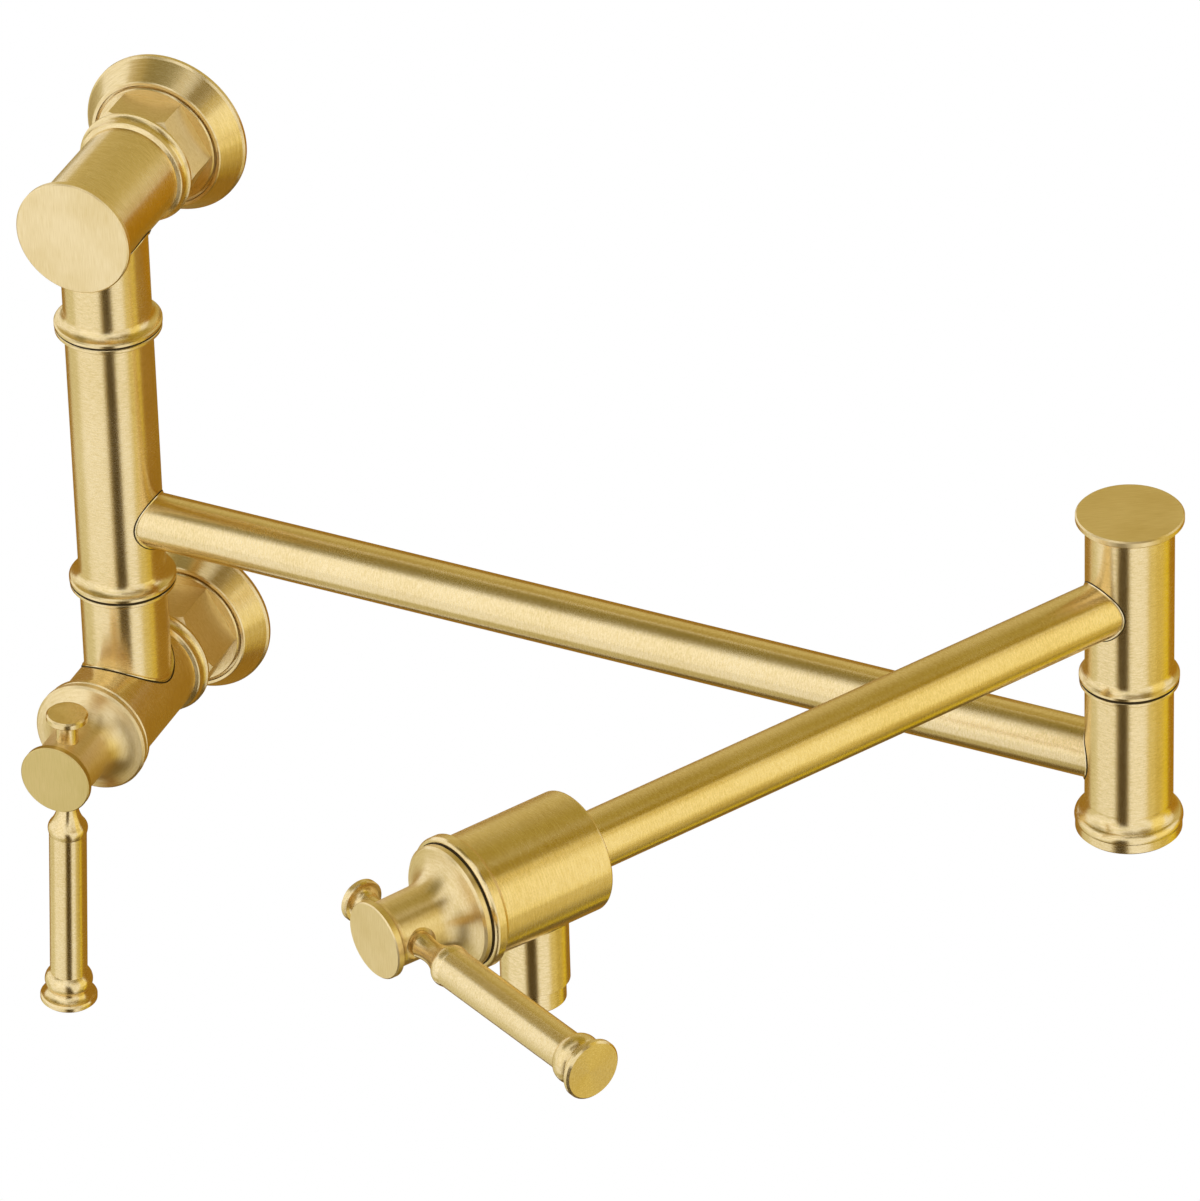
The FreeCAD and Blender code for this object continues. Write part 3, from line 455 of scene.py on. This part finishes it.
for name, body, finish, base, away, radius, (pillar, pillar_radius), bead in SEAMS:
    saddle_ring(
        "seam_" + name, body, solder[finish],
        base, away, radius + bead * BEAD_OUT, pillar, pillar_radius, bead,
    )
    saddle_ring(
        "crevice_" + name, body, painted_gap_shade,
        base, away, radius + bead * LINE_OUT, pillar, pillar_radius + LINE_LIFT, bead * 0.5,
    )


# ---- lines of painted shade in the grooves of the running joints -------------------
def painted_shade_ring(name, body, centre, axis, radius, thick):
    """A thin dark ring lying in a groove, as painted shade."""
    rings = []
    for _, out in ways_round(axis, 96):
        rings.append([
            centre + out * (radius + thick * math.cos(a)) + axis * (thick * math.sin(a))
            for a in (math.tau * k / 8 for k in range(8))
        ])
    tube_mesh(name, rings, painted_gap_shade, body)


SWIVEL_LINE = 0.00036
HANDLE_LINE = 0.00030
VALVE_GROOVE = ARM_TWO_START + SPOUT * VALVE_FRONT_GAP
# name, body, centre, axis, radius, half thickness
GROOVES = (
    ("lower_swivel", "wall_body", WALL_POST + UP * 0.04865, UP, 0.01888, SWIVEL_LINE),
    ("upper_swivel", "wall_body", WALL_POST + UP * 0.15565, UP, 0.01888, SWIVEL_LINE),
    ("elbow_swivel", "first_arm", ELBOW + UP * 0.11005, UP, 0.01688, SWIVEL_LINE),
    ("lower_handle", "wall_body", FRONT * BODY_FRONT_GAP, FRONT, 0.02045, HANDLE_LINE),
    ("spout_handle", "second_arm", VALVE_GROOVE, SPOUT, 0.02138, HANDLE_LINE),
)
# each groove gets a ring of painted shade
for name, *groove in GROOVES:
    painted_shade_ring("painted_shade_groove_" + name, *groove)


# ---- collars behind the union nuts ---------------------------------------------------
def turned_ring(name, body, base, axis, outline, material):
    """A ring turned about an axis from a closed outline of (radius, height)."""
    rings = [
        [base + out * radius + axis * height for radius, height in outline]
        for _, out in ways_round(axis, 120)
    ]
    tube_mesh(name, rings, material, body)


# radius, and distance from the wall
COLLAR = (
    (0.0155, 0.0084), (0.0226, 0.0084), (0.0228, 0.0090), (0.0228, 0.0104),
    (0.0224, 0.0109), (0.0200, 0.0110), (0.0155, 0.0110),
)
for side, inlet in (("lower", LOWER_INLET), ("upper", UPPER_INLET)):
    metal = gold[side + "_inlet"]
    turned_ring(side + "_nut_collar", "wall_body", inlet, FRONT, COLLAR, metal)


# ---- inlet connectors with their threads cut -----------------------------------------
THREAD_PITCH = 0.001814
THREAD_DEPTH = 0.00105
THREAD_STEP = 0.00015
THREAD_FADE = 0.0009
THREAD_GAP = 0.0001
THREAD_SIDES = 72
# radii of the connector, from the wall to the union
BORE = 0.0075
INLET_TIP = 0.0094
INLET_THREAD = 0.01048
NECK = 0.01018
SHOULDER = 0.015
UNION_THREAD = 0.0132
UNION_TIP = 0.012
# places along it, positive behind the wall plane
INLET_END = 0.015
SHOULDER_REAR = -0.00825
SHOULDER_FACE = -0.0096
LOWER_UNION_END = -0.0217
UPPER_UNION_END = -0.015


def plain_ring(radius, height):
    return height, [radius] * THREAD_SIDES


def thread_rings(radius, start, stop):
    """Rings of one helical thread between two heights, run out at both ends."""
    count = round(abs(stop - start) / THREAD_STEP)
    rings = []
    for i in range(count + 1):
        height = start + (stop - start) * i / count
        near = min(abs(height - start), abs(height - stop))
        full = min(near / THREAD_FADE, 1.0)
        ring = []
        for k in range(THREAD_SIDES):
            wave = (height / THREAD_PITCH + k / THREAD_SIDES) % 1.0
            # a flat crest and root with straight flanks between them
            flank = min(max(abs(2.0 * wave - 1.0) * 1.25 - 0.12, 0.0), 1.0)
            ring.append(radius - THREAD_DEPTH * (1.0 - full + full * flank))
        rings.append((height, ring))
    return rings


def threaded_connector(side, inlet, union_end):
    """An inlet connector with both threads cut; it stands for the plain one."""
    outline = [plain_ring(BORE, INLET_END), plain_ring(INLET_TIP, INLET_END)]
    outline += thread_rings(INLET_THREAD, INLET_END - THREAD_GAP, THREAD_GAP)
    outline += [plain_ring(NECK, 0.0), plain_ring(NECK, SHOULDER_REAR)]
    outline += [plain_ring(SHOULDER, SHOULDER_REAR), plain_ring(SHOULDER, SHOULDER_FACE)]
    outline += thread_rings(UNION_THREAD, SHOULDER_FACE - THREAD_GAP, union_end + THREAD_GAP)
    outline += [plain_ring(UNION_TIP, union_end), plain_ring(BORE, union_end)]
    turns = [math.tau * k / THREAD_SIDES for k in range(THREAD_SIDES)]
    rings = [
        [inlet + Vector((r * math.cos(a), height, r * math.sin(a))) for r, a in zip(radii, turns)]
        for height, radii in outline
    ]
    node = side + "_inlet_connector"
    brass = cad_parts[node].material_slots[0].material
    piece = tube_mesh(side + "_inlet_threads", rings, brass, "wall_body")
    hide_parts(node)


threaded_connector("lower", LOWER_INLET, LOWER_UNION_END)
threaded_connector("upper", UPPER_INLET, UPPER_UNION_END)


# ---- floor and cards -------------------------------------------------------------------
MIDDLE = Vector((0.16, -0.18, 0.08))
OVERHEAD_WAY = Vector((0.82, 0.57, 0.0)).normalized()
OVERHEAD_ACROSS = UP.cross(OVERHEAD_WAY)
BLACK = (0.0, 0.0, 0.0)
WHITE = (1.0, 1.0, 1.0)


def direction(azimuth, elevation):
    """A direction from the object: azimuth 0 is the front, 90 the right-hand end."""
    a, e = math.radians(azimuth), math.radians(elevation)
    return Vector((math.sin(a) * math.cos(e), -math.cos(a) * math.cos(e), math.sin(e)))


def glow(name, colour):
    """A surface that shines evenly in one colour."""
    t = new_material(name)
    t.nodes.remove(t.shader)
    light = t.add("ShaderNodeEmission")
    light.inputs["Color"].default_value = (*colour, 1.0)
    light.inputs["Strength"].default_value = 1.0
    t.end(light.outputs[0])
    return t.owner


def seen_rays(t):
    """1 for the rays of the camera, of metal and of glass, and 0 for the rest."""
    path = t.add("ShaderNodeLightPath").outputs
    seen = t.maths("MAXIMUM", path["Is Camera Ray"], path["Is Glossy Ray"])
    return t.maths("MAXIMUM", seen, path["Is Transmission Ray"])


def white_to_eye(name, colour):
    """Pale and matt, but plain white to the camera and in the metal."""
    t = new_material(name)
    t.shader.inputs["Base Color"].default_value = (*colour, 1.0)
    t.shader.inputs["Roughness"].default_value = 0.9
    light = t.add("ShaderNodeEmission")
    light.inputs["Strength"].default_value = 1.0
    mix = t.add("ShaderNodeMixShader")
    t.links.new(seen_rays(t), mix.inputs[0])
    t.links.new(t.shader.outputs[0], mix.inputs[1])
    t.links.new(light.outputs[0], mix.inputs[2])
    t.end(mix.outputs[0])
    return t.owner


def flat_piece(name, centre, facing, wide, high, material, seen=False):
    """A flat rectangle whose front looks along facing; its wide edge is level."""
    facing = facing.normalized()
    level = UP.cross(facing)
    level = level.normalized() if level.length > 1e-6 else OVERHEAD_WAY
    rise = facing.cross(level)
    corners = [
        centre + level * x * wide / 2 + rise * y * high / 2
        for x, y in ((-1, -1), (1, -1), (1, 1), (-1, 1))
    ]
    mesh = bpy.data.meshes.new(name)
    mesh.from_pydata([tuple(corner) for corner in corners], [], [(0, 1, 2, 3)])
    mesh.materials.append(material)
    thing = bpy.data.objects.new(name, mesh)
    bpy.context.scene.collection.objects.link(thing)
    thing.visible_camera = seen
    thing.visible_shadow = False
    thing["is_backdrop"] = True


def card(name, centre, facing, wide, high, colour):
    """A coloured card for the metal to reflect, which the camera doesn't see."""
    flat_piece(name, centre, facing, wide, high, glow(name + "_glow", colour))


def card_round(middle, name, azimuth, elevation, far, wide, high, colour):
    """A card that stands in one direction from a point and looks at it."""
    way = direction(azimuth, elevation)
    card(name, middle + way * far, -way, wide, high, colour)


FLOOR_CENTRE = Vector((0.2, -0.2, -3.0))
FLOOR_SIDE = 40.0
flat_piece(
    "floor", FLOOR_CENTRE, UP, FLOOR_SIDE, FLOOR_SIDE,
    white_to_eye("pale_floor", (0.82, 0.82, 0.80)), seen=True,
)

# name, azimuth, elevation, distance, width, height, colour
CARDS = (
    ("front_strip", 19, -33, 1.08, 0.42, 2.0, (0.07, 0.045, 0.012)),
    ("front_strip_edge", 17.5, -33, 1.10, 0.62, 2.0, (0.42, 0.34, 0.18)),
    ("front_low", -34, -60, 2.0, 1.7, 0.9, (0.58, 0.53, 0.32)),
    ("right_near", 85, -38, 2.4, 0.90, 2.2, (0.72, 0.61, 0.24)),
    ("right_far", 107, -36, 2.4, 1.05, 2.3, (0.60, 0.46, 0.10)),
    ("rear_low", 160, -27, 2.6, 3.8, 2.4, (0.40, 0.20, 0.008)),
    ("rear_left", -142, -29, 2.6, 2.9, 2.6, (0.38, 0.29, 0.11)),
    ("left_low", -95, -28, 2.6, 2.1, 2.6, (0.72, 0.68, 0.47)),
    ("rear_level", 178, 4, 2.9, 5.2, 0.7, (0.50, 0.36, 0.09)),
    ("rear_high", 178, 28, 3.0, 5.2, 2.0, (0.62, 0.53, 0.26)),
    ("rear_top", 178, 53, 2.9, 4.6, 1.1, (0.46, 0.37, 0.13)),
    ("front_right_high", 52, 58, 2.5, 1.9, 0.9, (0.20, 0.15, 0.06)),
    ("front_right_shoulder", 69, 38, 2.4, 0.9, 0.7, (0.38, 0.29, 0.10)),
    ("right_shoulder", 97, 37, 2.4, 0.85, 0.55, (0.84, 0.68, 0.18)),
    ("right_high", 114, 52, 2.6, 1.9, 1.5, (0.38, 0.27, 0.01)),
    ("left_high", -112, 46, 2.5, 1.6, 1.2, (0.50, 0.40, 0.16)),
)
# the same, but standing round the elbow's post
ELBOW_CARDS = (
    ("right_edge", 128, -33, 0.6, 0.2, 1.0, (0.80, 0.62, 0.02)),
    ("left_edge", -124, -34, 0.7, 0.30, 0.5, (0.28, 0.20, 0.07)),
)
for middle, cards in ((MIDDLE, CARDS), (ELBOW, ELBOW_CARDS)):
    for name, *place in cards:
        card_round(middle, "card_" + name, *place)

below = MIDDLE + Vector((0.30, 0.62, -1.3))
card("card_below", below, UP, 2.1, 1.7, (0.16, 0.11, 0.035))
overhead = MIDDLE + UP * 2.0 + OVERHEAD_ACROSS * 0.40
card("card_overhead_left", overhead - OVERHEAD_WAY * 1.1, -UP, 2.2, 1.35, (0.24, 0.20, 0.07))
card("card_overhead_right", overhead + OVERHEAD_WAY * 1.1, -UP, 2.2, 1.35, (0.40, 0.31, 0.06))
behind_union = Vector((-0.01, 0.035, -0.15))
card("card_rear_near", behind_union, FRONT, 0.66, 0.53, (0.34, 0.19, 0.025))


# ---- world and lamps -------------------------------------------------------------------
WORLD_LIGHT = 0.55

world = bpy.data.worlds.new("studio")
bpy.context.scene.world = world
tree = Tree(world)
background = tree.nodes["Background"].inputs
tree.feed(background["Strength"], tree.spread(seen_rays(tree), WORLD_LIGHT, 1.0))
background["Color"].default_value = (*WHITE, 1.0)


def soft_box(name, azimuth, elevation, far, wide, high, level, colour=WHITE):
    """A lamp that looks as bright as a white card of that level, with a black back."""
    data = bpy.data.lights.new(name, "AREA")
    data.shape = "RECTANGLE"
    data.size, data.size_y = wide, high
    data.energy = math.pi * wide * high * level
    data.color = colour
    lamp = bpy.data.objects.new(name, data)
    bpy.context.scene.collection.objects.link(lamp)
    way = direction(azimuth, elevation)
    lamp.location = MIDDLE + way * far
    lamp.rotation_mode = "QUATERNION"
    lamp.rotation_quaternion = (-way).to_track_quat("-Z", "Y")
    card_round(MIDDLE, name + "_back", azimuth, elevation, far + 0.02, wide, high, BLACK)


soft_box("softbox_front", -25, 16, 2.3, 1.9, 2.4, 1.12)
soft_box("softbox_right", 96, 5, 2.2, 1.25, 2.15, 1.05, (1.0, 0.895, 0.44))
soft_box("softbox_left", -84, 6, 2.6, 1.7, 1.3, 1.02)


# ---- camera ------------------------------------------------------------------------------
CAMERA_PLACE = (1.448697, -2.905418, 2.105434)
CAMERA_AZIMUTH = 23.885
CAMERA_ELEVATION = 32.994
CAMERA_ROLL = math.radians(-1.647)
# focal length and the photograph's longer side, both in its pixels
FOCAL_PIXELS = 10604.6
LONG_SIDE_PIXELS = 1201.0
SENSOR = 36.0

camera = bpy.data.objects.new("camera", bpy.data.cameras.new("camera"))
bpy.context.scene.collection.objects.link(camera)
bpy.context.scene.camera = camera
back = direction(CAMERA_AZIMUTH, CAMERA_ELEVATION)
right = UP.cross(back).normalized()
above = back.cross(right)
level_way = math.cos(CAMERA_ROLL) * right + math.sin(CAMERA_ROLL) * above
rise_way = -math.sin(CAMERA_ROLL) * right + math.cos(CAMERA_ROLL) * above
turn = Matrix((level_way, rise_way, back)).transposed()
camera.matrix_world = Matrix.Translation(CAMERA_PLACE) @ turn.to_4x4()
camera.data.sensor_width = SENSOR
camera.data.lens = FOCAL_PIXELS * SENSOR / LONG_SIDE_PIXELS
camera.data.clip_start = 0.1
camera.data.clip_end = 60.0

bpy.context.scene.view_settings.view_transform = "Standard"

for corner in (*cad_box, *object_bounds()):
    json.dumps([round(value, 5) for value in corner])
